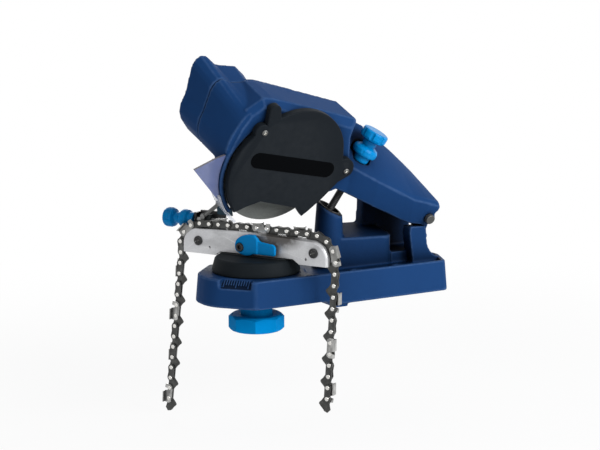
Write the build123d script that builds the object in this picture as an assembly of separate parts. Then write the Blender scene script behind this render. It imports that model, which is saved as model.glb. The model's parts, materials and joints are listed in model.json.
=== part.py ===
"""Electric chainsaw sharpener, bench mounted, with a tilted grinding head and a swivelling chain vise."""
import os
from math import atan2, cos, degrees, hypot, radians, sin

from build123d import *

# All sizes are in millimetres. Heights are above the bench; x runs to the rear hinge, y to the far side.

# ---- driving dimensions -------------------------------------------------------------------------
joint_gap = 0.3             # clearance across a moving joint
mount_x = 104.0             # centre of the four bench holes behind the turntable axis
mount_length = 44.0
mount_width = 66.0
bench_hole = 6.5

rim_height = 27.4           # base height at its rim
nose_floor = 3.4            # underside of the nose, clear of the bench
half_width = 44.0
nose_x = -51.5
nose_half = 13.0
nose_round = 28.0
corner_round = 5.0
shoulder_x = -24.0
rear_side_x = 169.5
rear_x = 182.0
rear_half = 16.0
base_flare = 2.4            # how much wider the base is at the bench than at its rim
bevel_width = 7.2           # bevel with the swivel scale along the slanted front edge
bench_edge_x = 66.0         # the stop lip meets the front edge of the bench here
lip_depth = 3.4

tower_x = 70.8
tower_y = -5.0
tower_top = 77.4            # height of the mouth on the tower axis
tower_top_radius = 11.0
tower_foot_radius = 14.4
tower_foot_shift = 1.8      # the foot spreads towards the nose
tower_bore = 8.4
bore_floor = 33.0

head_tilt = 22.0            # the grinding head leans towards the user
head_height = 66.6          # the disc plane crosses the turntable axis at this height
disc_x = 6.7
disc_z = 56.5
disc_radius = 50.0
disc_thickness = 3.2
disc_bore = 5.0             # radius of the bearings' bore
spindle_radius = 4.95
pivot_x = 160.5
pivot_z = 9.0
pivot_radius = 3.0
knuckle_inner = 15.0        # distance of the hinge knuckles from the disc plane
knuckle_outer = 24.0
knuckle_radius = 7.2
arm_near = -27.6            # outer face of the arm at the hinge
barrel_radius = 7.6

housing_front = -10.0
housing_back = 31.0
rim_radius = 55.0           # outside of the housing round the disc
roof_bevel = 6.0            # slope along the front edge of the roof
wall = 2.5
chamber_back = 4.0          # depth of the space behind the disc
motor_radius = 26.0         # bore of the motor chamber
motor_back = 72.0
can_radius = 25.8
handle_back = 57.0

shield_screw_angles = (177.0, 195.0)
guard_front = -16.0
guard_wall = 2.4
guard_radius = 50.5
guard_edge = 1.2            # rounding along the rim of the guard

screw_x = 69.9              # ball tip of the depth screw, in the head's own frame
screw_z = 5.5
screw_lean = 22.0
screw_radius = 3.3
screw_length = 80.0
knob_seat = 56.0            # where the knob sits along the screw
knob_lobe = 12.1
insert_radius = 5.0         # threaded sleeve in the arm
bush_radius = 4.8           # outside of the hinge bushes

table_angle = -60.0         # direction of the vise seen from above
table_radius = 38.0
table_top_radius = 34.6
table_top = 40.1
vise_half = 73.0
jaw_face = 0.8              # fixed jaw to the chain's centre plane
jaw_front = 6.0
jaw_bottom = 38.1
jaw_top = 61.0
jaw_bevel = 1.6             # sloped edge round the front of the jaw
web_half = 64.0             # the carrier's web between the jaws
web_top = 51.0

chain_pitch = 9.525
rivet_height = 64.7
link_half = 2.9             # a link's lower edge under the rivet line
drive_half_thickness = 0.65
strap_thickness = 1.2
left_hang = -113.0          # heights where the two hanging strands end
right_hang = -88.0

lever_x = -9.0
lever_z = 48.6
lever_head = 3.6            # head of the lever bolt
lever_seat = 10.6           # depth of its counterbore in front of the chain
stop_y = 9.0                # axis of the chain stop screw behind the chain
stop_z = 65.2
stop_lift = 37.0            # rest angle of the pawl
knob_radius = 23.5          # lock knob under the nose


# ---- helpers ------------------------------------------------------------------------------------
def at_y(y):
    """Drawing plane facing the user at depth y: its own x and y are the object's x and z."""
    return Plane.XZ.offset(-y)


def face_of(start, *moves):
    """Closed face. A move is the next point, or a pair (through, end) for an arc."""
    edges = []
    here = start
    for move in moves:
        if isinstance(move[0], tuple):
            edges.append(ThreePointArc(here, move[0], move[1]))
            here = move[1]
        else:
            edges.append(Line(here, move))
            here = move
    if here != start:
        edges.append(Line(here, start))
    return make_face(edges)


def slab(face, y0, y1):
    """A face drawn in x and z, made solid from depth y0 to y1."""
    return extrude(at_y(y1) * face, amount=y1 - y0)


def rod(radius, y0, y1, x=0.0, z=0.0):
    """Round bar along y."""
    return slab(Pos(x, z) * Circle(radius), y0, y1)


def ring(outer, inner, y0, y1, x=0.0, z=0.0):
    """Round sleeve along y."""
    return slab(Pos(x, z) * (Circle(outer) - Circle(inner)), y0, y1)


def post(radius, z0, z1, x=0.0, y=0.0):
    """Round bar standing along z."""
    return Pos(x, y, z0) * extrude(Circle(radius), amount=z1 - z0)


def block(x0, x1, y0, y1, z0, z1):
    """Box between two corners."""
    return Pos(x0, y0, z0) * Box(x1 - x0, y1 - y0, z1 - z0, align=(Align.MIN,) * 3)


def turned(profile):
    """Body turned about z from a list of (radius, height) points."""
    points = [(0.0, profile[0][1])] + profile + [(0.0, profile[-1][1])]
    return revolve(Plane.XZ * make_face(Polyline(*points, close=True)), Axis.Z)


head_frame = Pos(0, 0, head_height) * Rot(head_tilt, 0, 0)
table_frame = Rot(0, 0, table_angle)
mount_frame = Pos(-mount_x, 0, 0)


def on_head(solid):
    """Place a piece drawn in the head's own frame."""
    return mount_frame * head_frame * solid


def on_table(solid):
    """Place a piece drawn with the chain vise along x."""
    return mount_frame * table_frame * solid


def on_base(solid):
    """Place a piece drawn about the turntable axis."""
    return mount_frame * solid


def keep(name, solids, place):
    """Write one named node, which may hold several separate solids."""
    if not isinstance(solids, list):
        solids = [solids]
    placed = [place(s) for s in solids]
    whole = placed[0] if len(placed) == 1 else Compound(children=placed)
    whole.label = name
    export_step(whole, f"parts/{name}.step")
    return whole


# ---- base ---------------------------------------------------------------------------------------
def base_plan(inset=0.0):
    """Outline of the base seen from above: a blunt nose, straight sides and a chamfered rear."""
    corners = [
        (nose_x, -nose_half), (shoulder_x, -half_width), (rear_side_x, -half_width),
        (rear_x, -rear_half), (rear_x, rear_half), (rear_side_x, half_width),
        (shoulder_x, half_width), (nose_x, nose_half),
    ]
    plan = make_face(Polyline(*corners, close=True))
    plan = fillet(plan.vertices().group_by(Axis.X)[0], nose_round)
    plan = fillet(plan.vertices().filter_by(lambda v: v.X > shoulder_x - 1), corner_round)
    return offset(plan, -inset) if inset else plan


def slanted_edge():
    """Direction that the slanted front edge of the base faces, and its distance from the turntable axis."""
    dx, dy = shoulder_x - nose_x, half_width - nose_half
    return degrees(atan2(-dx, -dy)), (dx * nose_half - dy * nose_x) / hypot(dx, dy)


def bench_holes(z0, z1, radius):
    """The four fixing holes as bars to be cut away or kept as bosses."""
    bars = [
        post(radius, z0, z1, mount_x + sx * mount_length / 2, sy * mount_width / 2)
        for sx in (-1, 1) for sy in (-1, 1)
    ]
    return bars


def hinge_post(depth0, depth1, y0, y1, profile):
    """Upright cheek under the arm, with a tilted neck and knuckle for the head's hinge pin."""
    web = slab(face_of(*profile), y0, y1)
    neck = slab(
        face_of(
            (pivot_x - 8, -8), (pivot_x - knuckle_radius, pivot_z), (pivot_x + knuckle_radius, pivot_z),
            (pivot_x + 4, -8),
        ),
        depth0, depth1,
    )
    knuckle = rod(knuckle_radius, depth0, depth1, pivot_x, pivot_z)
    return web + head_frame * (neck + knuckle)


def make_base():
    body = loft([base_plan(-base_flare), Pos(0, 0, rim_height) * base_plan()], ruled=True)
    body -= block(nose_x - 5, bench_edge_x - 8, -60, 60, -1, nose_floor)
    lip = slab(
        face_of(
            (bench_edge_x - 24, nose_floor + 1), (bench_edge_x - 12, -lip_depth),
            (bench_edge_x, -lip_depth), (bench_edge_x, nose_floor + 1),
        ),
        -half_width, half_width,
    )
    body += lip
    body -= scale_bevel()
    deck = Pos(0, 0, rim_height - 3.6) * extrude(base_plan(3.5), amount=10)
    deck -= post(table_radius + 5, 0, 60)
    deck -= block(nose_x, 34, -60, 60, 0, 60)
    body -= deck
    for boss in bench_holes(rim_height - 8, rim_height - 2.2, 7.0):
        body += boss
    foot = rim_height - 5
    body += make_tower_and_box(foot)
    near_profile = ((146, foot), (141.8, 51), (142.6, 57.8), (159.4, 57.0), (161.2, 48),
                    ((164.4, 34.5), (172.5, 28.2)), (173, foot))
    far_profile = ((112.5, foot), (117.0, 80), (141, 73.5), (158, 71), (167, 71), (172, foot))
    body += hinge_post(-knuckle_outer, -knuckle_inner, -27, -15, near_profile)
    body += hinge_post(knuckle_inner, knuckle_outer, 12, 23, far_profile)
    body += block(129, 166, -17, 14, rim_height - 5, 34)
    body -= post(tower_bore, bore_floor, tower_top + 20, tower_x, tower_y)
    body -= collar_blank(tower_bore + 1.4)
    body -= head_frame * rod(pivot_radius, -45, 45, pivot_x, pivot_z)
    body -= post(4.4, -5, rim_height + 2)
    for hole in bench_holes(-5, rim_height + 5, bench_hole / 2):
        body -= hole
    for x in range(-42, 42, 21):
        body -= block(mount_x + x + 2, mount_x + x + 19, -22, 22, -1, 8)
    return body


def make_tower_and_box(foot):
    """Spring tower, and the box behind it whose lid falls towards the user and the hinge."""
    box = block(tower_x + 4, 131, tower_y - 12.8, 24, foot, 70)
    box = fillet(box.edges().filter_by(Axis.Z).group_by(Axis.X)[-1], 9.0)
    lid = Plane(origin=(tower_x + 10, tower_y - 12.8, 51.2), z_dir=(0.035, -0.18, 1))
    box -= lid * Box(240, 240, 60, align=(Align.CENTER, Align.CENTER, Align.MIN))
    tower = loft([
        Pos(tower_x - tower_foot_shift, tower_y, foot) * Circle(tower_foot_radius),
        Pos(tower_x, tower_y, tower_top + 10) * Circle(tower_top_radius),
    ], ruled=True)
    return box + (tower - tower_mouth_cutter(0.0))


def tower_mouth_cutter(drop):
    """Everything above the slanted mouth of the tower, square to the depth screw."""
    lean = radians(screw_lean)
    tilt = radians(head_tilt)
    normal = (sin(lean), -cos(lean) * sin(tilt), cos(lean) * cos(tilt))
    mouth = Plane(origin=(tower_x, tower_y, tower_top + drop), z_dir=normal)
    return mouth * Box(60, 60, 40, align=(Align.CENTER, Align.CENTER, Align.MIN))


def collar_blank(radius):
    """Bar from which the collar in the tower's mouth is cut."""
    return post(radius, 62, tower_top + 20, tower_x, tower_y)


def make_collar():
    sleeve = collar_blank(tower_bore + 1.4) - collar_blank(tower_bore)
    return sleeve - tower_mouth_cutter(0.8)


def make_plunger():
    top = seat_height()
    body = post(tower_bore - joint_gap, top - 9, top, tower_x, tower_y)
    return body - post(6.2, top - 10, top - 3, tower_x, tower_y)


def seat_height():
    """Top of the plunger, just under the ball tip of the depth screw."""
    tip = head_height + screw_z * cos(radians(head_tilt))
    return tip - screw_radius - joint_gap


def make_spring():
    wire = 1.2
    low = bore_floor + wire / 2
    high = seat_height() - 3 - wire / 2
    turns = 5
    path = Helix(pitch=(high - low) / turns, height=high - low, radius=5.2)
    section = Plane(origin=path @ 0, z_dir=path % 0) * Rectangle(wire, wire)
    return Pos(tower_x, tower_y, low) * sweep(section, path=path, is_frenet=True)


def make_pin():
    pin = rod(pivot_radius, arm_near, 36.0, pivot_x, pivot_z)
    return pin + rod(4.5, arm_near - 4.6, arm_near - joint_gap, pivot_x, pivot_z)


def scale_bevel():
    """Wedge cut from the slanted top edge of the base for the swivel scale."""
    angle, reach = slanted_edge()
    low = rim_height - bevel_width
    section = make_face(Polyline(
        (reach - bevel_width, rim_height), (reach, low), (reach + 9, low), (reach + 9, rim_height + 1),
        (reach - bevel_width, rim_height + 1), close=True))
    return Rot(0, 0, angle) * extrude(at_y(13.0) * section, amount=28.0)


def make_scale():
    """Raised tick marks of the swivel scale on the bevel beside the turntable."""
    angle, reach = slanted_edge()
    ticks = []
    for i in range(11):
        length = 7.6 if i % 5 == 0 else 5.4
        tick = Box(length, 0.9, 0.8, align=(Align.MIN, Align.CENTER, Align.MIN))
        spot = Pos(reach - bevel_width + 1.2, 2.2 * i - 12.0, rim_height - 1.2)
        ticks.append(Rot(0, 0, angle) * spot * Rot(0, 45, 0) * tick)
    return ticks


# ---- grinding head ------------------------------------------------------------------------------
def polar(radius, angle, cx=disc_x, cz=disc_z):
    """Point on a circle, the angle counted from +x towards +z."""
    return cx + radius * cos(radians(angle)), cz + radius * sin(radians(angle))


def housing_face(drop=0.0):
    """Front view of the housing: a round rim on the left under a sloping roof, lowered by the drop."""
    lip = drop * 0.6
    return face_of(
        polar(rim_radius, 221), (polar(rim_radius, 195), polar(rim_radius, 168)),
        (-40.0 + lip, 98.0), (-33.0 + lip, 113.0 - lip), (-19.0, 123.0 - drop), (-10.0, 122.0 - drop),
        ((31.0 - lip, 112.0 - drop), (72.0 - drop, 101.0 - drop)),
        ((75.6 - drop, 99.0 - drop), (75.2 - drop, 95.0 - drop)), (73.0 - lip, 84.0),
        (74.0, 62.0), (68.0, 36.0), (50.0, 30.0), (25.4, 30.0), (-10.1, 36.0), (-27.0, 30.0),
    )


def arm_section(x, near, far, low, ridge_near, ridge_far):
    """Cross-section of the arm at a station along x."""
    plane = Plane(origin=(x, 0, 0), x_dir=(0, 1, 0), z_dir=(1, 0, 0))
    corners = [(near, low), (far, low), (far, ridge_far - 4), (far - 5, ridge_far), (near + 4, ridge_near),
               (near, ridge_near - 3)]
    return plane * make_face(Polyline(*corners, close=True))


def make_arm():
    """Arm that widens from the housing to the hinge while its roof falls away."""
    stations = (
        arm_section(62, housing_front, housing_back, 38.0, 68.0, 98.0),
        arm_section(78, housing_front, housing_back, 30.5, 59.5, 90.0),
        arm_section(104, -18.0, housing_back, 19.5, 47.5, 78.0),
        arm_section(142, arm_near + 1.6, housing_back, 3.5, 30.5, 50.0),
        arm_section(158, arm_near, housing_back, 1.4, 26.5, 37.5),
        arm_section(171, arm_near, housing_back, 16.0, 22.5, 27.0),
    )
    arm = rod(barrel_radius, arm_near, housing_back, pivot_x, pivot_z)
    for first, second in zip(stations, stations[1:]):
        arm += loft([first, second], ruled=True)
    return arm


def handle_blank():
    """Grip that grows out of the upper left of the housing and runs back beside the motor."""
    back = make_face(Polyline(
        (-50.5, 66.5), (-59.0, 77.5), (-61.2, 84.0), (-61.2, 91.0), (-58.5, 99.5), (-56.2, 126.0),
        (-54.2, 130.2), (-49.5, 134.5), (-44.0, 133.5),
        (-35.0, 126.0), (-16.0, 124.0), (-6.0, 115.5), (-6.0, 68.0), close=True))
    front = make_face(Polyline(
        (-46.5, 66.0), (-46.4, 72.0), (-46.2, 80.0), (-45.2, 86.0), (-43.5, 91.0), (-38.0, 102.0),
        (-36.0, 105.4), (-34.0, 108.0), (-31.0, 111.0),
        (-26.0, 114.0), (-19.5, 117.5), (-14.0, 112.0), (-14.0, 66.0), close=True))
    return loft([at_y(housing_front + 2) * front, at_y(handle_back) * back], ruled=True)


def make_front_housing():
    shell = slab(housing_face(), housing_front + roof_bevel, housing_back)
    shell += loft([at_y(housing_front) * housing_face(roof_bevel),
                   at_y(housing_front + roof_bevel) * housing_face()], ruled=True)
    grip = handle_blank() & block(-90, 60, housing_front, housing_back, 0, 160)
    shell += grip
    shell += make_arm()
    shell -= rod(disc_radius + 1.0, housing_front - 20, chamber_back, disc_x, disc_z)
    shell -= rod(16.5, 0, 6.2, disc_x, disc_z)
    shell -= slab(
        face_of((-80, 65.5), (-42, 65.5), (-30, 52), (-24, 40), (-12, 29), (0, 22), (12, 20), (12, -20),
                (-80, -20)),
        chamber_back + 3.0, housing_back + 1,
    )
    shell -= block(-70, -45.5, -7.9, -5.3, 60, 77) - rod(rim_radius, -20, 20, disc_x, disc_z)
    shell -= rod(motor_radius, 11, housing_back + 1, disc_x, disc_z)
    shell -= rod(9.0, 0, 20, disc_x, disc_z)
    for side in (-1, 1):
        shell -= hinge_slot(side)
    shell -= rod(bush_radius, -knuckle_inner - 1, knuckle_inner + 1, pivot_x, pivot_z)
    shell -= rod(pivot_radius + 0.1, -40, 40, pivot_x, pivot_z)
    shell -= screw_axis() * post(insert_radius, 10, 100)
    shell -= screw_axis() * post(9.0, knob_seat - joint_gap, 130)
    shell -= screw_axis() * post(knob_lobe + 0.9, knob_seat + 5.0, 130)
    return shell


def hinge_slot(side):
    """Slot in the arm that clears one hinge knuckle of the base."""
    y0, y1 = knuckle_inner - joint_gap, knuckle_outer + joint_gap
    if side < 0:
        y0, y1 = -y1, -y0
    top = pivot_z + knuckle_radius + 0.8
    return slab(
        face_of(
            (pivot_x - 15, -40), (pivot_x - 12, 4), ((pivot_x - 8, top - 2.5), (pivot_x, top)),
            (pivot_x + 30, top), (pivot_x + 30, -40),
        ),
        y0, y1,
    )


def make_rear_housing():
    """Rear half of the housing: the back of the grip and the motor cover with its vents."""
    grip = handle_blank() & block(-90, 60, housing_back, handle_back + 1, 0, 160)
    cover = rod(motor_radius + wall + 1.5, housing_back, motor_back, disc_x, disc_z)
    flange = slab(
        face_of(
            (-40.0, 66.0), (-40.0, 100.0), (-19.0, 121.5), (-10.0, 121.5), (30.0, 111.0), (52.0, 92.0),
            (52.0, 50.0), (30.0, 30.0), (-12.0, 33.0), (-30.0, 48.0),
        ),
        housing_back, housing_back + 5,
    )
    shell = grip + cover + flange
    shell -= rod(motor_radius, housing_back - 1, motor_back - wall, disc_x, disc_z)
    for i in range(-3, 4):
        shell -= block(disc_x + i * 6 - 1.5, disc_x + i * 6 + 1.5, motor_back - 6, motor_back + 1,
                       disc_z + 6, disc_z + 20)
    shell -= switch_opening()
    return shell


def switch_opening(inset=0.0):
    """Rectangular window for the rocker switch in the back of the grip."""
    return block(-41 + inset, -28 - inset, handle_back - 14, handle_back + 2, 92 + inset, 113 - inset)


def make_switch_frame():
    frame = switch_opening() & block(-90, 0, handle_back - 12, handle_back, 0, 160)
    frame -= block(-39.5, -29.5, handle_back - 10, handle_back + 5, 93.5, 111.5)
    bezel = block(-42.5, -26.5, handle_back, handle_back + 1.6, 90.5, 114.5)
    return frame + bezel - block(-39.5, -29.5, handle_back - 10, handle_back + 5, 93.5, 111.5)


def make_rocker():
    """Rocker cap with the pins it tips on; it is short enough to tip inside its frame."""
    profile = make_face(Polyline(
        (handle_back - 7, 95.1), (handle_back + 2.8, 95.1), (handle_back + 1.0, 102.5),
        (handle_back + 2.8, 109.9), (handle_back - 7, 109.9), close=True))
    plane = Plane(origin=(-39.0, 0, 0), x_dir=(0, 1, 0), z_dir=(1, 0, 0))
    pins = along_x(1.2, -39.4, -29.6, handle_back - 5, 102.5)
    return extrude(plane * profile, amount=9.0) + pins


def guard_face():
    """Front view of the disc guard, with its two screw lugs, top ear and lower tips."""
    return face_of(
        polar(guard_radius, 207), (polar(guard_radius, 170), polar(guard_radius, 134)),
        (-26.6, 95.0), ((-25.4, 102.0), (-17.2, 103.8)), (-17.2, 118.0), ((-12.0, 121.4), (-7.0, 118.0)),
        (-5.5, 110.0), (4.8, 113.5), ((39.5, 109.6), (60.5, 82.0)), (63.2, 68.0),
        ((75.0, 62.5), (73.5, 52.0)), (63.0, 46.0), (54.3, 35.5), (38.0, 19.6), (33.0, 15.4),
        (29.0, 19.6), (25.4, 24.3), (-10.1, 33.4), (-21.9, 29.7), (-33.4, 24.6),
    )


def make_guard():
    body = slab(guard_face(), guard_front, housing_front)
    edges = body.faces().sort_by(Axis.Y)[0].edges()
    body = fillet(edges.filter_by(lambda e: e.center().Z > 35), guard_edge)
    hollow = rod(48.6, guard_front + guard_wall, 0, disc_x, disc_z)
    hollow += slab(
        face_of((10.0, 62.0), (6.0, 109.5), ((38.0, 106.0), (57.5, 80.0)), (60.0, 62.0)),
        guard_front + guard_wall, 0,
    )
    body -= hollow
    for x, z in guard_screw_places():
        body -= rod(1.7, guard_front - 1, 0, x, z)
    return body


def guard_screw_places():
    return (-18.5, 97.5), (68.5, 56.5)


def make_guard_screws():
    screws = []
    for x, z in guard_screw_places():
        screw = rod(1.7, guard_front - 0.6, housing_front, x, z)
        screws.append(screw + rod(3.2, guard_front - 2.0, guard_front, x, z))
    return screws


def make_label():
    """Plain dark strip let into the front of the guard."""
    centre = Pos(14.5, 65.9) * Rot(0, 0, -11.0)
    return slab(centre * SlotOverall(83.0, 14.0), guard_front - 0.5, guard_front)


def make_shield():
    """Clear spark shield: a flat sheet beside the disc with a flap round the housing rim."""
    sheet = slab(
        face_of((-45.0, 75.0), (-53.5, 72.0), (-72.0, 62.5), (-47.5, 35.0), (-24.8, 12.4), (0.0, 40.0)),
        -7.6, -5.6,
    )
    flap = rod(rim_radius + 2.1, -10.0, 6.5, disc_x, disc_z)
    flap &= slab(face_of((disc_x, disc_z), polar(90, 172), polar(90, 200), polar(90, 233)), -11, 8)
    sheet += flap - block(-80, 0, -11, -7.6, polar(rim_radius, 200)[1], 90)
    sheet -= rod(rim_radius + 0.1, -12, 10, disc_x, disc_z)
    for angle in shield_screw_angles:
        sheet -= radial_bar(angle, 1.7, rim_radius - 1, rim_radius + 4)
    return sheet


def radial_bar(angle, radius, r0, r1):
    """Bar pointing out of the housing rim at an angle."""
    a = radians(angle)
    x, z = polar(r0, angle)
    plane = Plane(origin=(x, 2.0, z), z_dir=(cos(a), 0, sin(a)))
    return plane * Cylinder(radius, r1 - r0, align=(Align.CENTER, Align.CENTER, Align.MIN))


def make_shield_screws():
    screws = []
    for angle in shield_screw_angles:
        shank = radial_bar(angle, 1.7, rim_radius + 0.1, rim_radius + 2.1)
        screws.append(shank + radial_bar(angle, 3.0, rim_radius + 2.1, rim_radius + 4.0))
    return screws


# ---- motor and spindle --------------------------------------------------------------------------
def make_motor_can():
    can = ring(can_radius, can_radius - 2, 14, motor_back - 8, disc_x, disc_z)
    return can + ring(can_radius, 9.0, 12, 14, disc_x, disc_z)


def make_magnets():
    sector = (Circle(can_radius - 2) - Circle(18.0)) & Rectangle(60, 32)
    half = sector & Pos(30, 0) * Rectangle(60, 60)
    other = sector & Pos(-30, 0) * Rectangle(60, 60)
    return [slab(Pos(disc_x, disc_z) * shape, 24, 55) for shape in (half, other)]


def make_end_bell():
    seat = motor_back - 8
    bell = ring(can_radius, disc_bore + 0.5, seat, seat + 3.0, disc_x, disc_z)
    return bell + ring(10.5, 8.0, seat - 4.5, seat, disc_x, disc_z)


def make_bearings():
    front = ring(9.0, disc_bore, 8.6, 14.0, disc_x, disc_z)
    rear = ring(8.0, disc_bore, motor_back - 12.5, motor_back - 8, disc_x, disc_z)
    return [front, rear]


def make_brushes():
    return [block(disc_x + s * 13.9 - 5.2, disc_x + s * 13.9 + 5.2, 55.6, 58.8, disc_z - 2.5, disc_z + 2.5)
            for s in (-1, 1)]


def make_shaft():
    return rod(spindle_radius, -11.5, motor_back - 6, disc_x, disc_z)


def make_rotor_core():
    core = ring(17.2, spindle_radius, 26, 51, disc_x, disc_z)
    for i in range(8):
        slot = Pos(disc_x, 0, disc_z) * Rot(0, i * 45, 0) * block(-1.2, 1.2, 20, 70, 12.5, 25)
        core -= slot
    return core


def make_windings():
    return [ring(15.5, spindle_radius, 21.6, 26, disc_x, disc_z),
            ring(13.0, spindle_radius, 51, 54.2, disc_x, disc_z)]


def make_commutator():
    return ring(8.4, spindle_radius, 54.6, 59.0, disc_x, disc_z)


def make_fan():
    fan = ring(8.0, spindle_radius, 15, 20, disc_x, disc_z)
    fan += ring(21.0, 7.0, 19, 20, disc_x, disc_z)
    for i in range(8):
        blade = block(-0.8, 0.8, 15, 19, 7.5, 21.0)
        fan += Pos(disc_x, 0, disc_z) * Rot(0, i * 45, 0) * blade
    return fan


def make_disc():
    return ring(disc_radius, spindle_radius, -disc_thickness / 2, disc_thickness / 2, disc_x, disc_z)


def make_inner_flange():
    return ring(15.0, spindle_radius, disc_thickness / 2, 5.2, disc_x, disc_z)


def make_outer_flange():
    return ring(15.0, spindle_radius, -4.6, -disc_thickness / 2, disc_x, disc_z)


def make_nut():
    hexagon = Pos(disc_x, disc_z) * (RegularPolygon(8.5, 6) - Circle(spindle_radius))
    return slab(hexagon, -10.4, -4.6)


# ---- depth screw --------------------------------------------------------------------------------
def screw_axis():
    """Frame of the depth screw: z runs up the screw from the centre of its ball tip."""
    return Pos(screw_x, 0, screw_z) * Rot(0, screw_lean, 0)


def make_screw_rod():
    return screw_axis() * (post(screw_radius, 0, screw_length) + Sphere(screw_radius))


def lobed_knob(lobe, waist, length):
    """Grip with a lower flange, a waist and a larger scalloped head, standing on z = 0."""
    side = [
        (waist * 1.04, 0.0), (waist * 1.14, length * 0.05), (waist * 1.14, length * 0.17),
        (lobe * 0.88, length * 0.22), (lobe * 0.94, length * 0.27), (lobe * 0.94, length * 0.38),
        (lobe * 0.84, length * 0.45), (waist * 0.94, length * 0.52), (waist * 0.94, length * 0.66),
        (lobe * 0.9, length * 0.72), (lobe, length * 0.78), (lobe, length * 0.93),
        (lobe * 0.94, length * 0.98), (lobe * 0.82, length),
    ]
    grip = turned(side)
    for i in range(8):
        grip -= Rot(0, 0, i * 45) * post(lobe * 0.2, -1, length + 1, lobe * 1.12)
    return grip


def make_screw_knob():
    grip = Pos(0, 0, knob_seat) * lobed_knob(knob_lobe, 6.6, 30.0)
    return screw_axis() * (grip - post(screw_radius, 0, screw_length))


def make_screw_insert():
    """Threaded brass sleeve that carries the depth screw in the arm."""
    sleeve = post(insert_radius, 34, 52)
    return screw_axis() * (sleeve - post(screw_radius + 0.05, 30, 60))


def make_hinge_bushes():
    inner, outer = 6.0, knuckle_inner - joint_gap
    return [ring(bush_radius, pivot_radius + 0.05, -outer, -inner, pivot_x, pivot_z),
            ring(bush_radius, pivot_radius + 0.05, inner, outer, pivot_x, pivot_z)]


# ---- turntable and vise -------------------------------------------------------------------------
def make_turntable():
    z0 = rim_height + joint_gap
    table = turned([(table_radius, z0), (table_radius, z0 + 3.0), (table_radius - 0.7, z0 + 5.4),
                    (table_top_radius + 1.2, table_top - 1.6), (table_top_radius, table_top)])
    return table - post(4.0, 0, 60)


def make_table_stud():
    stud = post(4.0, -20.0, table_top - 4)
    return stud


def make_carrier():
    foot = block(-32.4, 32.4, -5.6, 11, table_top, table_top + 0.9)
    foot = foot & post(table_top_radius, 0, 60)
    web = block(-web_half, web_half, -3.1, 3.1, table_top + 0.9, web_top)
    for side in (-1, 1):
        web -= Pos(side * 50, 0, 38) * Box(30, 20, 9)
    body = foot + web
    for x, z in vise_screw_places():
        body -= rod(2.0, -10, 10, x, z)
    return body - rod(2.5, -10, 10, lever_x, lever_z)


def vise_screw_places():
    return (-56.0, 49.4), (60.0, 48.8)


def jaw_outline(inset=0.0):
    """Front view of a vise jaw: rounded shoulders, a slightly arched top and a notched underside."""
    end = vise_half - inset
    low = jaw_bottom
    return face_of(
        (-end, low), (-end, 45.5), ((inset * 0.7 - 68.6, 55.8 - inset * 0.7), (-57.0, 59.6 - inset)),
        ((0.0, jaw_top - inset), (56.0, 59.3 - inset)),
        ((68.2 - inset * 0.7, 54.8 - inset * 0.7), (end, 44.6)), (end, low - 0.4),
        (46.0, low - 0.4), (40.0, low + 3.5), (-33.0, low + 3.3), (-38.0, low),
    )


def web_space():
    """Room between the jaws for the carrier's web."""
    half = web_half + 1.0
    return face_of((-half, 30), (-half, web_top + 0.5), (half, web_top + 0.5), (half, 30))


def make_front_jaw():
    jaw = slab(jaw_outline(), jaw_bevel - jaw_front, -jaw_face)
    jaw += loft([at_y(-jaw_front) * jaw_outline(jaw_bevel),
                 at_y(jaw_bevel - jaw_front) * jaw_outline()], ruled=True)
    jaw -= slab(web_space(), -3.1, 1)
    for x, z in vise_screw_places():
        jaw -= rod(2.0, -10, 1, x, z)
    for x, z in ((-44.0, 44.5), (52.5, 42.8)):
        jaw -= rod(0.9, -10, -4.5, x, z)
    return jaw - rod(2.5, -10, 1, lever_x, lever_z)


def make_rear_jaw():
    jaw = slab(jaw_outline(), jaw_face + joint_gap / 2, jaw_front + joint_gap / 2)
    jaw -= slab(web_space(), 0, 3.1 + joint_gap)
    for x, z in vise_screw_places():
        jaw -= rod(2.0 + joint_gap, 0, 10, x, z)
    return jaw - rod(2.5 + joint_gap, 0, 10, lever_x, lever_z)


def make_vise_screws():
    screws = []
    for x, z in vise_screw_places():
        shank = rod(2.0, -jaw_front, 13.6, x, z)
        head = rod(4.2, -jaw_front - 1.6, -jaw_front, x, z)
        nut = rod(4.4, 9.9, 12.5, x, z)
        screws.append(shank + head + nut)
    return screws


def lever_point(dx, dz):
    """Point on the lever's outline, counted from its bolt."""
    return lever_x + dx, lever_z + dz


def lever_face():
    p = lever_point
    return face_of(
        p(-4.7, -0.6), (p(-4.3, 4.6), p(-2.2, 7.6)), (p(3.6, 10.7), p(10.0, 11.4)), p(13.8, 11.5),
        (p(16.0, 10.0), p(18.2, 7.5)), (p(19.6, 6.5), p(21.6, 6.1)), p(30.0, 5.0),
        (p(34.2, 3.4), p(34.9, 0.0)), p(34.7, -3.6), (p(34.0, -5.0), p(32.4, -5.4)), p(13.4, -4.9),
        (p(6.2, -6.9), p(-0.8, -4.9)), (p(-3.7, -3.2), p(-4.7, -0.6)),
    )


def make_lever():
    """Clamp lever with a thick hub at its bolt and a thinner grip that stands off the jaw."""
    body = slab(lever_face(), -12.6, -jaw_front - joint_gap)
    body -= block(lever_x + 14, lever_x + 50, -8.6, 0, 38, 66)
    body -= block(lever_x + 17.5, lever_x + 50, -13, -11.6, 38, 66)
    body -= rod(lever_head + 0.3, -13, -lever_seat, lever_x, lever_z)
    return body - rod(2.5, -20, 0, lever_x, lever_z)


def make_lever_screw():
    """Bolt whose head lies in a counterbore of the lever."""
    shank = rod(2.5, -lever_seat, -jaw_front - joint_gap, lever_x, lever_z)
    return shank + rod(lever_head, -12.9, -lever_seat, lever_x, lever_z)


def make_lever_bolt():
    """Cam bolt fixed between the jaws, on which the lever turns."""
    return rod(2.5, -jaw_front, 13.0, lever_x, lever_z) + rod(4.6, 8.6, 12.0, lever_x, lever_z)


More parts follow.
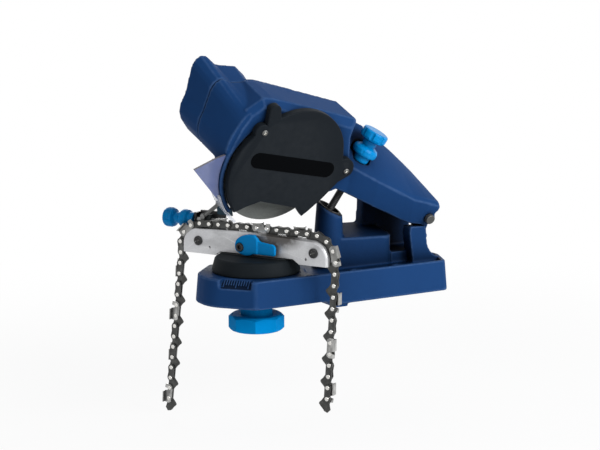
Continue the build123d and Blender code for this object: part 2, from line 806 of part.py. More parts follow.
# ---- chain stop ---------------------------------------------------------------------------------
def make_stop_bracket():
    y_jaw = jaw_front + joint_gap / 2
    foot = block(-66, -49, y_jaw, 8.4, 44.0, 57.6)
    shelf = block(-66, -49, y_jaw, 15.0, 55.2, 57.6)
    back = block(-66, -40, 12.6, 15.0, 55.2, 73.5)
    ear = block(-68.5, -66, y_jaw, 15.0, 57.0, 72.0)
    body = foot + shelf + back + ear
    x, z = vise_screw_places()[0]
    return body - rod(2.3, 0, 9, x, z) - along_x(2.5 + joint_gap, -75, -60)


def along_x(radius, x0, x1, y=stop_y, z=stop_z):
    """Round bar along the vise."""
    plane = Plane(origin=(x0, y, z), z_dir=(1, 0, 0))
    return plane * Cylinder(radius, x1 - x0, align=(Align.CENTER, Align.CENTER, Align.MIN))


def make_stop_carriage():
    body = block(-61.5, -51.0, 5.6, 12.3, 60.5, 71.0)
    return body - along_x(2.5 + joint_gap, -70, -40) - rod(1.5, 5, 8, -57.5, 69.0)


def make_stop_screw():
    return along_x(2.5, -80, -44)


def make_stop_knob():
    plane = Plane(origin=(-69.2, stop_y, stop_z), z_dir=(-1, 0, 0))
    bore = along_x(2.5, -80, -60)
    return plane * lobed_knob(8.8, 5.4, 31.0) - bore


def pawl_frame():
    """Frame of the pawl: x runs out along it from its pin."""
    return Pos(-57.5, 0, 69.0) * Rot(0, -stop_lift, 0)


def make_pawl():
    strip = slab(face_of((-2.5, -1.6), (23.0, -1.6), (23.0, 1.6), (-2.5, 1.6)), 3.4, 5.3)
    return pawl_frame() * (strip - rod(1.5 + 0.1, 0, 8))


def make_pawl_pin():
    return rod(1.5, 3.0, 8.0, -57.5, 69.0) + rod(2.4, 2.6, 3.1, -57.5, 69.0)


def make_pawl_ball():
    ball = Pos(20.5, 7.4, 0) * Sphere(4.4)
    return pawl_frame() * (ball & block(0, 40, 5.3, 20, -9, 9))


def make_pawl_finger():
    """Plastic finger that drops behind a cutter."""
    return slab(face_of((-43.0, 80.6), (-42.0, 72.4), (-26.5, 72.0), (-27.6, 79.0)), 3.4, 5.3) - make_pawl()


# ---- chain --------------------------------------------------------------------------------------
def chain_path():
    """Line of the rivets: up the left strand, over the jaws and down the right strand."""
    left_top = (-78.0, 36.0)
    right_top = (78.0, 36.0)
    left_end = (left_top[0] - 0.118 * (left_top[1] - left_hang), left_hang)
    right_end = (right_top[0] - 0.063 * (right_top[1] - right_hang), right_hang)
    return Wire([
        Line(left_end, left_top),
        ThreePointArc(left_top, (-72.9, 56.8), (-55.0, 63.8)),
        ThreePointArc((-55.0, 63.8), (0.0, rivet_height), (56.0, 63.6)),
        ThreePointArc((56.0, 63.6), (72.7, 56.2), right_top),
        Line(right_top, right_end),
    ])


def rivet_points():
    """Rivet places one pitch apart along the path, counted from a cutter at the middle."""
    path = chain_path()
    samples = 900
    line = [path @ (i / samples) for i in range(samples + 1)]
    middle = min(range(samples + 1), key=lambda i: hypot(line[i].X - 1.6, line[i].Y - rivet_height))
    points = {0: line[middle]}
    for step, stop in ((1, samples), (-1, 0)):
        here, count, i = line[middle], 0, middle
        while i != stop:
            i += step
            if hypot(line[i].X - here.X, line[i].Y - here.Y) >= chain_pitch:
                here, count = line[i], count + step
                points[count] = here
    return points


def link_place(a, b):
    """Frame of a link between two rivets, x along the link and z outwards."""
    angle = degrees(atan2(b.Y - a.Y, b.X - a.X))
    return Pos((a.X + b.X) / 2, 0, (a.Y + b.Y) / 2) * Rot(0, -angle, 0)


def drive_link():
    half = chain_pitch / 2
    side = make_face(Polyline(
        (-half - 2.9, 0.6), (-half, 3.2), (0, 2.0), (half, 3.2), (half + 2.9, 0.6), (half + 1.8, -2.6),
        (half + 0.4, -3.6), (2.4, -6.6), (0.8, -7.9), (-0.6, -7.6), (-2.6, -5.6), (-half - 1.0, -3.6),
        (-half - 2.0, -2.4),
        close=True))
    return slab(side, -drive_half_thickness, drive_half_thickness)


def strap(side):
    half = chain_pitch / 2
    edge = make_face(Polyline(
        (-half - 3.4, -0.4), (-half - 2.2, 2.6), (-half, 3.4), (0, 2.7), (half, 3.4),
        (half + 2.2, 2.6), (half + 3.4, -0.4), (half + 2.0, -link_half), (-half - 2.0, -link_half), close=True))
    return layer(edge, side)


def layer(face, side):
    """Side plate of the chain on the near (-1) or the far (+1) side."""
    inner = drive_half_thickness
    if side < 0:
        return slab(face, -inner - strap_thickness, -inner)
    return slab(face, inner, inner + strap_thickness)


def cutter(side):
    """Cutter link: depth gauge in front, gullet, and a top plate that leans over the outside."""
    half = chain_pitch / 2
    edge = make_face(Polyline(
        (-half - 4.6, -0.6), (-half - 4.2, 4.8), (1.2, 5.4), (2.6, 1.6), (half - 0.8, 1.8), (half - 0.2, 4.7),
        (half + 3.2, 4.4), (half + 3.6, -0.4), (half + 2.0, -link_half), (-half - 3.0, -link_half),
        close=True))
    plate = make_face(Polyline((-half - 4.2, 3.9), (1.2, 4.5), (1.2, 5.4), (-half - 4.2, 4.8), close=True))
    inner = drive_half_thickness
    if side < 0:
        top = slab(plate, -inner - strap_thickness - 2.6, -inner + 1.0)
    else:
        top = slab(plate, inner - 1.0, inner + strap_thickness + 2.6)
    return layer(edge, side) + top


def rivet_heads():
    inner = drive_half_thickness + strap_thickness
    head = RegularPolygon(1.9, 8)
    return [slab(head, -inner - 0.6, -inner), slab(head, inner, inner + 0.6)]


def make_chain():
    """All links of the chain, sorted by kind."""
    points = rivet_points()
    drives, straps, cutters, rivets = [], [], [], []
    for n in sorted(points):
        if any(m % 2 == 0 and m in points and m + 1 in points for m in (n - 1, n)):
            spot = Pos(points[n].X, 0, points[n].Y)
            rivets += [spot * head for head in rivet_heads()]
        if n + 1 not in points:
            continue
        place = link_place(points[n], points[n + 1])
        if n % 2:
            drives.append(place * drive_link())
        elif n % 4 == 0:
            side = -1 if n % 8 == 0 else 1
            cutters.append(place * cutter(side))
            straps.append(place * strap(-side))
        else:
            straps += [place * strap(-1), place * strap(1)]
    return drives, straps, cutters, rivets


# ---- lock knob ----------------------------------------------------------------------------------
def make_lock_knob():
    """Eight-sided hand knob with a round neck."""
    top, low = -10.6, -24.0
    body = Pos(0, 0, low) * Rot(0, 0, 15) * extrude(RegularPolygon(knob_radius + 0.8, 8), amount=top - low)
    body &= turned([(knob_radius - 1.4, low), (knob_radius + 0.8, low + 1.2), (knob_radius + 0.8, top - 2.2),
                    (knob_radius - 2.4, top)])
    body += post(14.0, top, nose_floor - 1.8)
    return body - post(4.0 + 0.1, -40, 30)


def make_lock_washer():
    return Pos(0, 0, nose_floor - 1.8) * extrude(Circle(13.0) - Circle(4.2), amount=1.5)


# ---- assembly -----------------------------------------------------------------------------------
def main():
    os.makedirs("parts", exist_ok=True)
    keep("base", make_base(), on_base)
    keep("swivel_scale", make_scale(), on_base)
    keep("tower_collar", make_collar(), on_base)
    keep("hinge_pin", make_pin(), on_head)
    keep("hinge_clip", ring(5.4, pivot_radius, 31.4, 33.4, pivot_x, pivot_z), on_head)
    keep("plunger", make_plunger(), on_base)
    keep("return_spring", make_spring(), on_base)

    keep("front_housing", make_front_housing(), on_head)
    keep("rear_housing", make_rear_housing(), on_head)
    keep("disc_guard", make_guard(), on_head)
    keep("guard_screws", make_guard_screws(), on_head)
    keep("guard_strip", make_label(), on_head)
    keep("spark_shield", make_shield(), on_head)
    keep("shield_screws", make_shield_screws(), on_head)
    keep("switch_frame", make_switch_frame(), on_head)
    keep("switch_rocker", make_rocker(), on_head)
    keep("hinge_bushes", make_hinge_bushes(), on_head)
    keep("screw_insert", make_screw_insert(), on_head)
    keep("depth_screw", make_screw_rod(), on_head)
    keep("depth_knob", make_screw_knob(), on_head)

    keep("motor_can", make_motor_can(), on_head)
    keep("motor_magnets", make_magnets(), on_head)
    keep("motor_end_bell", make_end_bell(), on_head)
    keep("motor_bearings", make_bearings(), on_head)
    keep("motor_brushes", make_brushes(), on_head)
    keep("spindle", make_shaft(), on_head)
    keep("rotor_core", make_rotor_core(), on_head)
    keep("rotor_windings", make_windings(), on_head)
    keep("commutator", make_commutator(), on_head)
    keep("cooling_fan", make_fan(), on_head)
    keep("grinding_disc", make_disc(), on_head)
    keep("inner_flange", make_inner_flange(), on_head)
    keep("outer_flange", make_outer_flange(), on_head)
    keep("spindle_nut", make_nut(), on_head)

    keep("turntable", make_turntable(), on_table)
    keep("table_stud", make_table_stud(), on_table)
    keep("vise_carrier", make_carrier(), on_table)
    keep("front_jaw", make_front_jaw(), on_table)
    keep("vise_screws", make_vise_screws(), on_table)
    keep("lever_bolt", make_lever_bolt(), on_table)
    keep("rear_jaw", make_rear_jaw(), on_table)
    keep("clamp_lever", make_lever(), on_table)
    keep("lever_screw", make_lever_screw(), on_table)
    keep("stop_bracket", make_stop_bracket(), on_table)
    keep("stop_carriage", make_stop_carriage(), on_table)
    keep("stop_screw", make_stop_screw(), on_table)
    keep("stop_knob", make_stop_knob(), on_table)
    keep("pawl_pin", make_pawl_pin(), on_table)
    keep("stop_pawl", make_pawl(), on_table)
    keep("pawl_ball", make_pawl_ball(), on_table)
    keep("pawl_finger", make_pawl_finger(), on_table)
    drives, straps, cutters, rivets = make_chain()
    keep("chain_drive_links", drives, on_table)
    keep("chain_tie_straps", straps, on_table)
    keep("chain_cutters", cutters, on_table)
    keep("chain_rivets", rivets, on_table)
    keep("lock_knob", make_lock_knob(), on_base)
    keep("lock_washer", make_lock_washer(), on_base)


main()
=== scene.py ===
# Electric chainsaw sharpener: finishes, fasteners, threads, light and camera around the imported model.
import json
from math import cos, pi, radians, sin

import bmesh
import bpy
from mathutils import Matrix, Vector


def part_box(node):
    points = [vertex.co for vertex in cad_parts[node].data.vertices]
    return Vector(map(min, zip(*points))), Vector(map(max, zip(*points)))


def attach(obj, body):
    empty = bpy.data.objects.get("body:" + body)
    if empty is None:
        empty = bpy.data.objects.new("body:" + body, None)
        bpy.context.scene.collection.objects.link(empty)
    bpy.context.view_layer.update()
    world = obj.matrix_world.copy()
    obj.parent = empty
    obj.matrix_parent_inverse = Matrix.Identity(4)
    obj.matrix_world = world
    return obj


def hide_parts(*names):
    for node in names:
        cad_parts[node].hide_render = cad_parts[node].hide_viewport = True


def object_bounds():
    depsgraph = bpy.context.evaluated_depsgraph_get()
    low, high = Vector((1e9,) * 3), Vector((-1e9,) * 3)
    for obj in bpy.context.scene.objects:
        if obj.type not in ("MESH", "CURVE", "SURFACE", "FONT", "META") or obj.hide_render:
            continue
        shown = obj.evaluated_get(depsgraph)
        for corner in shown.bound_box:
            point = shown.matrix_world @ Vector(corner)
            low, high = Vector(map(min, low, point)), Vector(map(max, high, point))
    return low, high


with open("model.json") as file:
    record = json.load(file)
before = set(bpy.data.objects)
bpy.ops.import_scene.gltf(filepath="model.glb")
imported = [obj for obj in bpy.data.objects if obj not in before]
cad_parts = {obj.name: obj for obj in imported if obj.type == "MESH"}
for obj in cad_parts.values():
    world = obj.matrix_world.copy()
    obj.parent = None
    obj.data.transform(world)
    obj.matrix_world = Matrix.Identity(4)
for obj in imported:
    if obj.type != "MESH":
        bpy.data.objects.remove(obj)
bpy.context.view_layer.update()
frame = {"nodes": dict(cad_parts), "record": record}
nodeBody = {name: body for body, names in frame["record"]["behaviour"]["bodies"].items() for name in names}
nodeSlot = {entry["node"]: entry["material_slot"] for entry in frame["record"]["subparts"]}
print("frame loaded:", len(frame["nodes"]), "nodes")

mm = 0.001
headTilt = radians(22)       # the grinding head leans towards the user
tableTurn = radians(-60)     # direction of the chain vise seen from above
tableAxis = Vector((-104 * mm, 0, 0))          # the chain vise turns on an upright line through this point
headOrigin = Vector((-104 * mm, 0, 66.6 * mm))  # the head's own x, y and z are counted from here
headPlace = Matrix.Translation(headOrigin) @ Matrix.Rotation(headTilt, 4, "X")
tablePlace = Matrix.Translation(tableAxis) @ Matrix.Rotation(tableTurn, 4, "Z")


# shader groups shared by the finishes
def newGroup(name, inputs, outputs):
    group = bpy.data.node_groups.new(name, "ShaderNodeTree")
    for label, kind, value in inputs:
        socket = group.interface.new_socket(label, in_out="INPUT", socket_type=kind)
        socket.default_value = value
    for label, kind in outputs:
        group.interface.new_socket(label, in_out="OUTPUT", socket_type=kind)
    return group, group.nodes.new("NodeGroupInput"), group.nodes.new("NodeGroupOutput")


def objectNoise(group, scaleSocket, detail, roughness=0.5, stretch=None, shift=None):
    # noise in the object's own coordinates, so it moves with the piece at every pose
    coords = group.nodes.new("ShaderNodeTexCoord").outputs["Object"]
    if stretch is not None:
        longer = group.nodes.new("ShaderNodeVectorMath")
        longer.operation = "MULTIPLY_ADD"
        group.links.new(coords, longer.inputs[0])
        group.links.new(stretch, longer.inputs[1])
        group.links.new(shift, longer.inputs[2])
        coords = longer.outputs[0]
    noise = group.nodes.new("ShaderNodeTexNoise")
    noise.inputs["Detail"].default_value = detail
    noise.inputs["Roughness"].default_value = roughness
    group.links.new(coords, noise.inputs["Vector"])
    group.links.new(scaleSocket, noise.inputs["Scale"])
    return noise.outputs["Fac"]


def mathNode(group, operation, first, second=None, clamp=False):
    node = group.nodes.new("ShaderNodeMath")
    node.operation = operation
    node.use_clamp = clamp
    for socket, value in zip(node.inputs, (first, second)):
        if isinstance(value, (int, float)):
            socket.default_value = value
        elif value is not None:
            group.links.new(value, socket)
    return node.outputs[0]


def mixColours(group, factor, first, second):
    node = group.nodes.new("ShaderNodeMix")
    node.data_type = "RGBA"
    for socket, value in ((node.inputs[0], factor), (node.inputs[6], first), (node.inputs[7], second)):
        if isinstance(value, (int, float, tuple)):
            socket.default_value = value
        else:
            group.links.new(value, socket)
    return node.outputs[2]


def buildSkinGroup():
    # surface of a moulding or casting: a tone that drifts slowly, fine specks and their height
    group, start, end = newGroup(
        "mouldedSkin",
        (("Colour", "NodeSocketColor", (0.1, 0.1, 0.1, 1)), ("Grain Scale", "NodeSocketFloat", 2600.0),
         ("Drift Scale", "NodeSocketFloat", 26.0), ("Drift Amount", "NodeSocketFloat", 0.12),
         ("Speckle Amount", "NodeSocketFloat", 0.08)),
        (("Colour", "NodeSocketColor"), ("Height", "NodeSocketFloat"), ("Mask", "NodeSocketFloat")))
    grain = objectNoise(group, start.outputs["Grain Scale"], 3.0, 0.6)
    drift = objectNoise(group, start.outputs["Drift Scale"], 4.0, 0.55)
    tone = mathNode(group, "MULTIPLY", mathNode(group, "SUBTRACT", drift, 0.5), start.outputs["Drift Amount"])
    speck = mathNode(group, "MULTIPLY", mathNode(group, "SUBTRACT", grain, 0.5), start.outputs["Speckle Amount"])
    gain = mathNode(group, "ADD", mathNode(group, "ADD", tone, speck), 1.0)
    scaled = group.nodes.new("ShaderNodeVectorMath")
    scaled.operation = "SCALE"
    group.links.new(start.outputs["Colour"], scaled.inputs[0])
    group.links.new(gain, scaled.inputs["Scale"])
    group.links.new(scaled.outputs[0], end.inputs["Colour"])
    group.links.new(grain, end.inputs["Height"])
    group.links.new(drift, end.inputs["Mask"])
    return group


def buildRubSheenGroup():
    # rubbed outer edges and painted edge highlights: a mask that is 1 on sharp edges, broken up by noise
    group, start, end = newGroup(
        "edgeRubAndSheen",
        (("Reach", "NodeSocketFloat", 0.52), ("Gain", "NodeSocketFloat", 14.0),
         ("Break Up", "NodeSocketFloat", 180.0)),
        (("Mask", "NodeSocketFloat"),))
    geometry = group.nodes.new("ShaderNodeNewGeometry")
    noise = objectNoise(group, start.outputs["Break Up"], 3.0)
    edge = mathNode(group, "SUBTRACT", geometry.outputs["Pointiness"], start.outputs["Reach"])
    sharp = mathNode(group, "MULTIPLY", edge, start.outputs["Gain"], clamp=True)
    group.links.new(mathNode(group, "MULTIPLY", sharp, noise, clamp=True), end.inputs["Mask"])
    return group


def buildMarksGroup():
    # tool marks, tarnish or old oil, and on the cast jaws partly a painted dark reflection: a mask of streaks that
    # can be stretched along one axis of the object
    group, start, end = newGroup(
        "marksAndReflection",
        (("Stretch", "NodeSocketVector", (1.0, 1.0, 18.0)), ("Shift", "NodeSocketVector", (0.0, 0.0, 0.0)),
         ("Scale", "NodeSocketFloat", 300.0), ("Threshold", "NodeSocketFloat", 0.5),
         ("Gain", "NodeSocketFloat", 6.0)),
        (("Mask", "NodeSocketFloat"),))
    streak = objectNoise(group, start.outputs["Scale"], 3.0, 0.6, start.outputs["Stretch"], start.outputs["Shift"])
    above = mathNode(group, "SUBTRACT", streak, start.outputs["Threshold"])
    group.links.new(mathNode(group, "MULTIPLY", above, start.outputs["Gain"], clamp=True), end.inputs["Mask"])
    return group


def buildPaintedShadeGroup():
    # painted shade in corners and under overhangs, from ambient occlusion: a mask that is 1 in the open
    group, start, end = newGroup(
        "occlusionShade",
        (("Reach", "NodeSocketFloat", 0.02), ("Depth", "NodeSocketFloat", 0.5)),
        (("Mask", "NodeSocketFloat"),))
    paintedOcclusion = group.nodes.new("ShaderNodeAmbientOcclusion")
    paintedOcclusion.samples = 8
    group.links.new(start.outputs["Reach"], paintedOcclusion.inputs["Distance"])
    closed = mathNode(group, "SUBTRACT", 1.0, paintedOcclusion.outputs["AO"])
    shade = mathNode(group, "MULTIPLY", closed, start.outputs["Depth"])
    group.links.new(mathNode(group, "SUBTRACT", 1.0, shade, clamp=True), end.inputs["Mask"])
    return group


def buildPaintedReflectionGroup():
    # one painted dark reflection: a mask that fades out around a point of the object
    group, start, end = newGroup(
        "paintedReflectionPatch",
        (("Centre", "NodeSocketVector", (0.0, 0.0, 0.0)), ("Stretch", "NodeSocketVector", (1.0, 1.0, 1.0)),
         ("Size", "NodeSocketFloat", 0.02), ("Break Up", "NodeSocketFloat", 260.0),
         ("Gain", "NodeSocketFloat", 2.0), ("Evenness", "NodeSocketFloat", 0.35)),
        (("Mask", "NodeSocketFloat"),))
    position = group.nodes.new("ShaderNodeTexCoord").outputs["Object"]
    for operation, socket in (("SUBTRACT", "Centre"), ("MULTIPLY", "Stretch")):
        step = group.nodes.new("ShaderNodeVectorMath")
        step.operation = operation
        group.links.new(position, step.inputs[0])
        group.links.new(start.outputs[socket], step.inputs[1])
        position = step.outputs[0]
    distance = group.nodes.new("ShaderNodeVectorMath")
    distance.operation = "LENGTH"
    group.links.new(position, distance.inputs[0])
    share = mathNode(group, "DIVIDE", distance.outputs["Value"], start.outputs["Size"])
    near = mathNode(group, "MULTIPLY", mathNode(group, "SUBTRACT", 1.0, share, clamp=True), start.outputs["Gain"])
    ragged = mathNode(group, "ADD", objectNoise(group, start.outputs["Break Up"], 4.0), start.outputs["Evenness"])
    group.links.new(mathNode(group, "MULTIPLY", near, ragged, clamp=True), end.inputs["Mask"])
    return group


skinGroup = buildSkinGroup()
rubSheenGroup = buildRubSheenGroup()
marksGroup = buildMarksGroup()
paintedShadeGroup = buildPaintedShadeGroup()
paintedReflectionGroup = buildPaintedReflectionGroup()
print("shader groups built")


# finishes: colour, gloss and how much grain, drift, marks, rubbed edges with painted sheen, painted shade and
# painted reflection each one has;
# plain is what a finish has where it says nothing else; bumpDepth is in mm, the other lengths are in metres
plain = dict(metallic=0.0, specular=0.5, roughness=0.45, glossDrift=0.16, grain=1500, bump=0.08, bumpDepth=0.2,
             drift=0.15, driftScale=26, speckle=0.1, rubAndSheen=0.1, rubSheenReach=0.52, rubSheenGain=14.0,
             marks=0.0, marksColour=(0, 0, 0), marksScale=90, stretch=(1, 1, 8), shift=(0, 0, 0), threshold=0.5,
             paintedOcclusion=0.0, paintedShadeReach=0.02, reflectionPaint=0.0)
skyKnob = dict(colour=(0.0002, 0.232, 0.590), roughness=0.24, specular=0.07, grain=1400, bump=0.04, drift=0.12,
               speckle=0.04, rubAndSheen=0.10, rubSheenColour=(0.10, 0.45, 0.82), paintedOcclusion=0.9, paintedShadeReach=0.007)
# the cast jaws: mottle and tarnish of their own, but their large marks and slow drift are partly a painted dark
# reflection and their bright edges partly a painted highlight
castSilver = dict(colour=(0.60, 0.605, 0.62), roughness=0.40, metallic=0.55, grain=650, bump=0.14, drift=0.35,
                  driftScale=34, speckle=0.30, rubAndSheen=0.6, rubSheenColour=(0.88, 0.88, 0.88), marks=0.55,
                  marksColour=(0.16, 0.165, 0.17), stretch=(1.0, 1.0, 2.4), shift=(0.4, 4.4, 1.2), marksScale=30,
                  paintedOcclusion=0.9, paintedShadeReach=0.011)
finishes = {
    # the blue shell's lighter edge colour is a painted highlight along its ridges, and it darkens under the arm
    # with painted shade
    "blue_shell": dict(colour=(0.0098, 0.0455, 0.1480), roughness=0.54, specular=0.035, grain=2400, bump=0.12,
                       drift=0.20, speckle=0.12, rubAndSheen=0.75, rubSheenReach=0.506, rubSheenGain=70.0,
                       rubSheenColour=(0.06, 0.12, 0.26), paintedOcclusion=1.3, paintedShadeReach=0.07),
    "sky_knob": skyKnob,
    "dullKnob": dict(skyKnob, roughness=0.55, specular=0.01, paintedShadeReach=0.010, rubAndSheen=0.25,
                     rubSheenColour=(0.02, 0.34, 0.74)),
    "black_guard": dict(colour=(0.0098, 0.0128, 0.0165), roughness=0.56, specular=0.05, grain=2600, bump=0.16,
                        drift=0.22, speckle=0.20, rubAndSheen=0.20, rubSheenColour=(0.05, 0.055, 0.06)),
    "black_strip": dict(colour=(0.0012, 0.0016, 0.0022), roughness=0.26, specular=0.02, grain=900, bump=0.01,
                        speckle=0.02, rubAndSheen=0.0, rubSheenColour=(0.02, 0.02, 0.02)),
    "black_table": dict(colour=(0.0078, 0.0108, 0.0134), roughness=0.62, specular=0.07, grain=1500, bump=0.2,
                        drift=0.3, speckle=0.25, rubAndSheen=0.14, rubSheenColour=(0.04, 0.04, 0.04)),
    "cast_silver": castSilver,
    # the front jaw carries a painted dark reflection above the lever
    "paintedReflectSilver": dict(castSilver, marks=0.35, marksColour=(0.20, 0.205, 0.21), paintedOcclusion=0.7, paintedShadeReach=0.008,
                          reflectionPaint=0.92, reflectionCentre=(-0.0957, -0.0262, 0.0600), reflectionStretch=(1.0, 1.0, 2.0),
                          reflectionSize=0.027, reflectionColour=(0.055, 0.048, 0.042)),
    "screw_steel": dict(colour=(0.34, 0.34, 0.33), roughness=0.32, metallic=1.0, grain=900, bump=0.05, drift=0.3,
                        rubAndSheen=0.3, rubSheenColour=(0.6, 0.6, 0.6)),
    "black_steel": dict(colour=(0.012, 0.012, 0.013), roughness=0.42, metallic=0.3, specular=0.35, grain=1100,
                        drift=0.3, rubAndSheen=0.5, rubSheenColour=(0.2, 0.2, 0.2)),
    "chain_steel": dict(colour=(0.028, 0.029, 0.028), roughness=0.36, metallic=0.45, grain=900, bump=0.12,
                        drift=0.6, driftScale=60, speckle=0.35, rubAndSheen=0.45, rubSheenColour=(0.42, 0.42, 0.40),
                        marks=0.3, marksColour=(0.14, 0.14, 0.13), stretch=(1.0, 1.0, 1.0), marksScale=240),
    "cutter_chrome": dict(colour=(0.20, 0.20, 0.195), roughness=0.30, metallic=1.0, grain=800, drift=0.6,
                          driftScale=60, speckle=0.3, rubAndSheen=1.0, rubSheenColour=(0.75, 0.75, 0.73),
                          marks=0.5, marksColour=(0.05, 0.05, 0.048), stretch=(1.0, 1.0, 1.0), marksScale=210),
    "rivet_steel": dict(colour=(0.66, 0.65, 0.62), roughness=0.24, metallic=1.0, grain=900, bump=0.03,
                        drift=0.2, rubAndSheen=0.2, rubSheenColour=(0.85, 0.85, 0.85)),
    "abrasive": dict(colour=(0.150, 0.160, 0.152), roughness=0.9, specular=0.1, grain=2300, bump=0.7, drift=0.25,
                     driftScale=70, speckle=1.1, rubAndSheen=0.0, rubSheenColour=(0.2, 0.2, 0.2)),
    "blackScrew": dict(colour=(0.014, 0.014, 0.015), roughness=0.34, specular=0.30, rubAndSheen=0.30,
                       rubSheenColour=(0.2, 0.2, 0.2), paintedOcclusion=1.4, paintedShadeReach=0.0012),
    "bareRecess": dict(colour=(0.15, 0.15, 0.145), roughness=0.5, metallic=0.2, rubAndSheen=0.3,
                       rubSheenColour=(0.35, 0.35, 0.34)),
    "tealPlastic": dict(colour=(0.003, 0.030, 0.052), roughness=0.35, specular=0.25, rubSheenColour=(0.05, 0.12, 0.16)),
    "dullSteel": dict(colour=(0.075, 0.078, 0.076), roughness=0.5, metallic=0.8, drift=0.4, driftScale=60,
                      speckle=0.3, rubAndSheen=0.8, rubSheenColour=(0.35, 0.35, 0.35)),
    # painted shade for the bevel of the swivel scale
    "paintedShadeShell": dict(colour=(0.0040, 0.0110, 0.0300), roughness=0.6, specular=0.05, grain=2400, bump=0.16,
                        drift=0.3, speckle=0.2, rubAndSheen=0.2, rubSheenColour=(0.03, 0.06, 0.13)),
    "brass": dict(colour=(0.6, 0.42, 0.18), roughness=0.3, metallic=1.0, rubAndSheen=0.2, rubSheenColour=(0.8, 0.66, 0.36)),
    "spring_steel": dict(colour=(0.4, 0.4, 0.4), roughness=0.25, metallic=1.0, rubSheenColour=(0.6, 0.6, 0.6)),
    "motor_steel": dict(colour=(0.42, 0.42, 0.44), roughness=0.35, metallic=1.0, rubAndSheen=0.2,
                        rubSheenColour=(0.6, 0.6, 0.6)),
    "magnet": dict(colour=(0.03, 0.03, 0.034), roughness=0.7, speckle=0.2, rubSheenColour=(0.1, 0.1, 0.1)),
    "copper": dict(colour=(0.5, 0.2, 0.08), roughness=0.3, metallic=1.0, bump=0.2, drift=0.3, speckle=0.3,
                   rubAndSheen=0.2, rubSheenColour=(0.7, 0.4, 0.2)),
    "laminate": dict(colour=(0.3, 0.3, 0.32), metallic=1.0, grain=2000, bump=0.2, speckle=0.3,
                     rubSheenColour=(0.5, 0.5, 0.5)),
    "fan_grey": dict(colour=(0.45, 0.45, 0.43), roughness=0.5, rubSheenColour=(0.6, 0.6, 0.6)),
    "carbon": dict(colour=(0.02, 0.02, 0.02), roughness=0.6, rubSheenColour=(0.1, 0.1, 0.1)),
    "grey_plastic": dict(colour=(0.034, 0.040, 0.042), roughness=0.5, specular=0.3, grain=1800, bump=0.12,
                         rubSheenColour=(0.12, 0.12, 0.12)),
    "red_rocker": dict(colour=(0.42, 0.012, 0.01), roughness=0.28, bump=0.02, speckle=0.02,
                       rubSheenColour=(0.6, 0.1, 0.1)),
}


def placeGroup(tree, group, **values):
    node = tree.nodes.new("ShaderNodeGroup")
    node.node_tree = group
    for label, value in values.items():
        node.inputs[label.replace("_", " ")].default_value = value
    return node


def makeFinish(name, changes):
    look = {**plain, **changes}
    material = bpy.data.materials.new(name)
    material.use_nodes = True
    tree = material.node_tree
    shader = tree.nodes["Principled BSDF"]
    shader.inputs["Metallic"].default_value = look["metallic"]
    shader.inputs["Specular IOR Level"].default_value = look["specular"]
    skin = placeGroup(tree, skinGroup, Colour=(*look["colour"], 1), Grain_Scale=look["grain"],
                      Drift_Scale=look["driftScale"], Drift_Amount=look["drift"], Speckle_Amount=look["speckle"])
    colour = skin.outputs["Colour"]
    # tool marks and tarnish; on the cast jaws partly a painted dark reflection
    if look["marks"]:
        marks = placeGroup(tree, marksGroup, Stretch=look["stretch"], Shift=look["shift"], Scale=look["marksScale"],
                           Threshold=look["threshold"])
        shade = mathNode(tree, "MULTIPLY", marks.outputs["Mask"], look["marks"])
        colour = mixColours(tree, shade, colour, (*look["marksColour"], 1))
    # painted reflection: a dark patch on the front jaw that fades out around one point
    if look["reflectionPaint"]:
        reflectionPaint = placeGroup(tree, paintedReflectionGroup, Centre=look["reflectionCentre"], Stretch=look["reflectionStretch"],
                           Size=look["reflectionSize"])
        shade = mathNode(tree, "MULTIPLY", reflectionPaint.outputs["Mask"], look["reflectionPaint"])
        colour = mixColours(tree, shade, colour, (*look["reflectionColour"], 1))
    # rubbed edges and painted edge highlights: the edges turn to the lighter edge colour
    rubAndSheen = placeGroup(tree, rubSheenGroup, Reach=look["rubSheenReach"], Gain=look["rubSheenGain"])
    rubbedShare = mathNode(tree, "MULTIPLY", rubAndSheen.outputs["Mask"], look["rubAndSheen"])
    colour = mixColours(tree, rubbedShare, colour, (*look["rubSheenColour"], 1))
    # painted shade: the colour goes towards black where ambient occlusion closes in
    if look["paintedOcclusion"]:
        recess = placeGroup(tree, paintedShadeGroup, Reach=look["paintedShadeReach"], Depth=look["paintedOcclusion"])
        colour = mixColours(tree, recess.outputs["Mask"], (0, 0, 0, 1), colour)
    tree.links.new(colour, shader.inputs["Base Color"])
    spread = mathNode(tree, "MULTIPLY", mathNode(tree, "SUBTRACT", skin.outputs["Mask"], 0.5), look["glossDrift"])
    tree.links.new(mathNode(tree, "ADD", spread, look["roughness"]), shader.inputs["Roughness"])
    bump = tree.nodes.new("ShaderNodeBump")
    bump.inputs["Strength"].default_value = look["bump"]
    bump.inputs["Distance"].default_value = look["bumpDepth"] * mm
    tree.links.new(skin.outputs["Height"], bump.inputs["Height"])
    tree.links.new(bump.outputs["Normal"], shader.inputs["Normal"])
    return material


# thin clear polycarbonate, with a colour and an opacity for its faces, its cut edges and the flap at the rim, where
# the pale colour is a painted highlight
sheetLook = dict(
    ior=1.58, specular=0.3, roughness=0.12, haze=0.18, grain=140, drift=0.3, driftScale=32, smudge=0.22,
    slant=0.2, slantBlend=0.35,
    tones={"clear_shield": ((0.12, 0.155, 0.33, 1), 0.70), "shieldEdge": ((0.16, 0.15, 0.17, 1), 0.80),
           "paintedFlapHighlight": ((0.70, 0.73, 0.82, 1), 0.30)})


